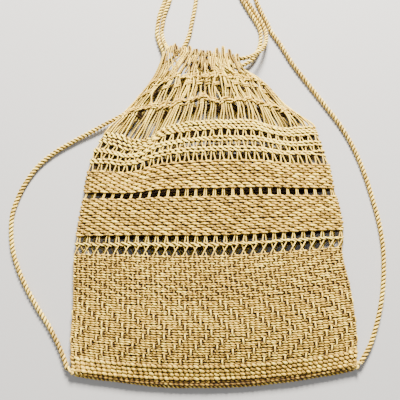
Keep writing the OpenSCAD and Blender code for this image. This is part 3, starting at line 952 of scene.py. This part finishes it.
def hairpin(tubes, face, x, slack, spread):
    """Warps that come up out of the net, over the drawcord and back down inside: two side
    by side if spread is 1, or one if it is 0. slack is how far they stand clear of it."""
    row = MOUTH_LOOPS[face]
    out, ring = row["out"], CORD_D / 2 + 1.1
    y = loop_y(x)
    lean = rng.uniform(-1.0, 1.0)
    for side in (-1, 1) if spread else (0,):
        legs = []
        for v, wide in ((V_TOP_COURSE + 3, 2.6), (y - 7.5, 1.7)):
            left, right = lookup(LEFT_FOLD, v), lookup(RIGHT_FOLD, v)
            foot = x + (x - FAN_X) * (y - v) * FAN + side * spread * wide - lean * 1.5
            point, normal = surface(2 * (foot - left) / (right - left) - 1, v, face)
            legs.append(point + normal * 1.4)
        turn = []
        for degrees in (0, 35, 70, 100, 135, 170):
            sine, cosine = math.sin(math.radians(degrees)), math.cos(math.radians(degrees))
            apart = 1.1 if degrees <= 60 else 0.5
            turn.append([x + side * apart * spread + lean * sine,
                         y + (ring + slack) * sine,
                         row["z"] + out * ring * cosine])
        back = [[x + side * 0.6, y - 3.5, row["z"] - out * ring]]
        line = spline([*legs, *turn, *back], 1.0)
        centre = np.array([x, y, row["z"]])
        tubes.add(line[None], HAIRPIN_R, unit(line - centre)[None], rng.uniform(0.1, 0.8),
                  1.0, wander(1, len(line), 4, 0.5), 7)


def mouth_loops(face):
    """Tall hairpins of two strands, and low single ones between them."""
    tubes = Tubes()
    row = MOUTH_LOOPS[face]
    for i in range(row["count"]):
        x = row["first"] + i * LOOP_PITCH
        tall = TALL_LOOPS_MORE * math.exp(-((x - TALL_LOOPS_X) / TALL_LOOPS_SPREAD) ** 2)
        hairpin(tubes, face, x, slack=0.1 + tall + 3.5 * rng.uniform() ** 2, spread=1)
        if i:
            hairpin(tubes, face, x - LOOP_PITCH / 2, slack=rng.uniform(-0.1, 0.9), spread=0)
    if face == "front":
        edge_strands(tubes)
    return tubes


# The tip of the leftmost edge strand, and how far right and up each next one is
EDGE_TIP = (-43.5, 160, 13)
EDGE_TIP_STEP = 2.3


def edge_strands(tubes):
    """The neck's outermost left warps, which end round the drawcord left of the hairpins."""
    for i in range(LEFT_EDGE_WARPS):
        u = -0.97 + 0.07 * i
        legs = []
        for v in (V_TOP_COURSE - 2, V_TOP_COURSE + 8):
            point, normal = surface(u, v, "front")
            legs.append(point + normal * (2.6 - 0.2 * i))
        along = EDGE_TIP_STEP * i
        tip = np.array(EDGE_TIP) + [along, rng.uniform(-1, 2.5), along]
        line = spline([*legs, tip + [-1.5, -6, 1.2], tip, tip + [0.6, 2.2, -2.5],
                       tip + [1, 1, -5.5]], 1.2)
        tubes.add(line[None], HAIRPIN_R, np.array([0, 0.3, 1.0]), 0.4, 1.0,
                  wander(1, len(line), 4, 0.5), 7)


# ---- the bottom edge and corners -------------------------------------

# The rim: one turn of its two yarns, their distance from its middle line, their radius, and
# the least height of that line
RIM_TURN, RIM_OUT, RIM_R, RIM_Z = 7.5, 0.8, 0.95, 2.4
# The corner knots: their middle, size, rise and the radius of their cord
KNOT_X, KNOT_Y, KNOT_Z = 126, -148, 5.4
KNOT_SIZE, KNOT_RISE, KNOT_CORD_R = 0.85, 1.2, 1.05
# The strands' radius where the cord runs under the knot, and what is left of it at its end
TAIL_R = CORD_D * 0.25
TAIL_END = 0.7


def bottom_seam():
    """The row that turns under along the lower edge, and the twisted rim that closes it."""
    tubes = Tubes()
    # The turned-under rows sit lower, which deepens their painted shade, and their tone is a
    # little darker, as painted shade of the underside
    add_rows(tubes, "front", [V_PANEL - 1.6, V_PANEL - 3.8], [crossings_every(1, 0)] * 2,
             lean=-1, radius=1.3, depth=0.8, uneven=0.25, base=-0.7, paler=-0.1)
    c = np.linspace(0, WARPS, WARPS * 5 + 1)
    point, _ = surface(warp_u(c), V_SEAM - 1.0, "back")
    line = point + np.stack([0 * c, wander(1, len(c), 14, 0.5)[0], 1.2 + 0 * c], -1)
    line[:, 2] = np.maximum(line[:, 2], RIM_Z)
    steps = np.linalg.norm(np.diff(line, axis=0), axis=1)
    run = np.concatenate([[0], np.cumsum(steps)])
    for start in (0, math.pi):
        a = (run * 2 * math.pi / RIM_TURN + start)[:, None]
        out = np.array([[0, 1, 0]]) * np.cos(a) + np.array([[0, 0, 1]]) * np.sin(a)
        tubes.add((line + out * RIM_OUT)[None], RIM_R, out[None], 0.8, 1.0,
                  wander(1, len(line), 60, 0.5), 7)
    return tubes


def corner_knot(side):
    """The strap's end: it runs on into the corner's cloth under a small three-lobed knot."""
    tubes = Tubes()
    end = CORD_ROUTE["left_strap"][0] if side < 0 else CORD_ROUTE["right_strap"][-1]
    tail = spline([end, [side * KNOT_X, -147.5, 5], [side * 121, -149.5, 5.5],
                   [side * 116, -151, 4.5]], CORD_STEP)
    strands, outs = laid_strands(tail)
    tubes.add(strands, TAIL_R * np.linspace(1, TAIL_END, len(tail)), outs, sides=8)
    t = np.linspace(0, 2 * math.pi, 90)
    x = (np.sin(t) + 2 * np.sin(2 * t)) * KNOT_SIZE
    y = (np.cos(t) - 2 * np.cos(2 * t)) * KNOT_SIZE
    z = -np.sin(3 * t) * KNOT_RISE
    line = np.stack([side * KNOT_X + x, KNOT_Y + y, KNOT_Z + z], -1)
    tubes.add(line[None], KNOT_CORD_R, np.array([0, 0, 1.0]), sides=8)
    return tubes


# ---- putting the bag together ----------------------------------------

def add_bag():
    """Every woven piece, from the bottom up. Some bands begin or end a little off the CAD's
    heights, where the photograph's rows do."""
    def cloth(node, tubes, slot="twined_cloth"):
        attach(place(tubes, node, slot), "bag")

    cloth("bottom_seam", bottom_seam())
    cloth("corner_knot_left", corner_knot(-1), "drawcord")
    cloth("corner_knot_right", corner_knot(1), "drawcord")
    for face in ("front", "back"):
        cloth(f"bottom_courses_{face}", bottom_courses(face))
        cloth(f"basket_band_{face}", basket_band(face))
        cloth(f"chevron_band_{face}", chevron_band(face))
        cloth(f"double_open_low_warps_{face}",
              open_row(face, V_LOW_WARPS, V_MID_WEFT, crossed_pair), "warp_cord")
        cloth(f"double_open_mid_weft_{face}",
              bar(face, V_MID_WEFT - 0.2, V_HIGH_WARPS - 1.2, 2, radius=0.85))
        cloth(f"double_open_high_warps_{face}",
              open_row(face, V_HIGH_WARPS, V_MIDDLE, narrow_pair), "warp_cord")
        cloth(f"middle_band_{face}", paired_band(face, V_MIDDLE - 2.1, V_SINGLE + 0.4, 15))
        cloth(f"single_open_warps_{face}",
              open_row(face, V_SINGLE, V_UPPER, leaning_pair), "warp_cord")
        cloth(f"upper_band_{face}", paired_band(face, V_UPPER - 1.8, V_OPEN_3, 10))
        cloth(f"neck_open_3_warps_{face}",
              open_row(face, V_OPEN_3, V_BAR_3, peaked_pair, 0.7), "warp_cord")
        cloth(f"weft_bar_3_{face}", bar(face, V_BAR_3, V_OPEN_2, 2))
        cloth(f"neck_open_2_warps_{face}",
              open_row(face, V_OPEN_2, V_BAR_2, valley_pair, 0.7), "warp_cord")
        cloth(f"weft_bar_2_{face}", bar(face, V_BAR_2 + 0.9, V_OPEN_1 + 0.9, 2))
        cloth(f"neck_open_1_warps_{face}",
              open_row(face, V_OPEN_1, V_BAR_1, peaked_pair, 0.7), "warp_cord")
        cloth(f"weft_bar_1_{face}", bar(face, V_BAR_1 + 1.3, V_FREE + 1.3, 4))
        cloth(f"free_warps_{face}", free_warps(face), "warp_cord")
        cloth(f"gather_course_{face}", gather_course(face))
        cloth(f"mouth_net_{face}", mouth_net(face), "warp_cord")
        cloth(f"mouth_loops_{face}", mouth_loops(face), "warp_cord")


add_bag()


# ---- floor and light -------------------------------------------------

def add_floor():
    """A pale plain floor that the bag lies on."""
    mesh = bpy.data.meshes.new("floor")
    size = 3.0
    mesh.from_pydata([(-size, -size, 0), (size, -size, 0), (size, size, 0), (-size, size, 0)],
                     [], [(0, 1, 2, 3)])
    floor = bpy.data.objects.new("floor", mesh)
    bpy.context.scene.collection.objects.link(floor)
    material = bpy.data.materials.new("floor")
    material.use_nodes = True
    shader = material.node_tree.nodes["Principled BSDF"]
    shader.inputs["Base Color"].default_value = (0.36, 0.35, 0.34, 1)
    shader.inputs["Roughness"].default_value = 0.9
    mesh.materials.append(material)


def add_light(name, place_at, size, power, colour):
    """A square lamp that points at the middle of the floor."""
    data = bpy.data.lights.new(name, "AREA")
    data.size, data.energy, data.color = size, power, colour
    light = bpy.data.objects.new(name, data)
    light.location = place_at
    toward = -np.array(place_at)
    pitch = math.atan2(math.hypot(toward[0], toward[1]), -toward[2])
    light.rotation_euler = (pitch, 0, math.atan2(-toward[0], toward[1]))
    bpy.context.scene.collection.objects.link(light)


def add_world():
    """Dim, slightly blue light from all round."""
    world = bpy.data.worlds.new("world")
    world.use_nodes = True
    background = world.node_tree.nodes["Background"]
    background.inputs[0].default_value = (0.95, 0.97, 1.0, 1)
    background.inputs[1].default_value = 0.38
    bpy.context.scene.world = world


add_floor()
add_light("key", (0.15, 1.15, 0.95), size=0.45, power=174, colour=(1.0, 0.97, 0.91))
add_light("fill", (-0.5, -0.4, 1.3), size=1.2, power=9, colour=(0.96, 0.98, 1.0))
add_world()
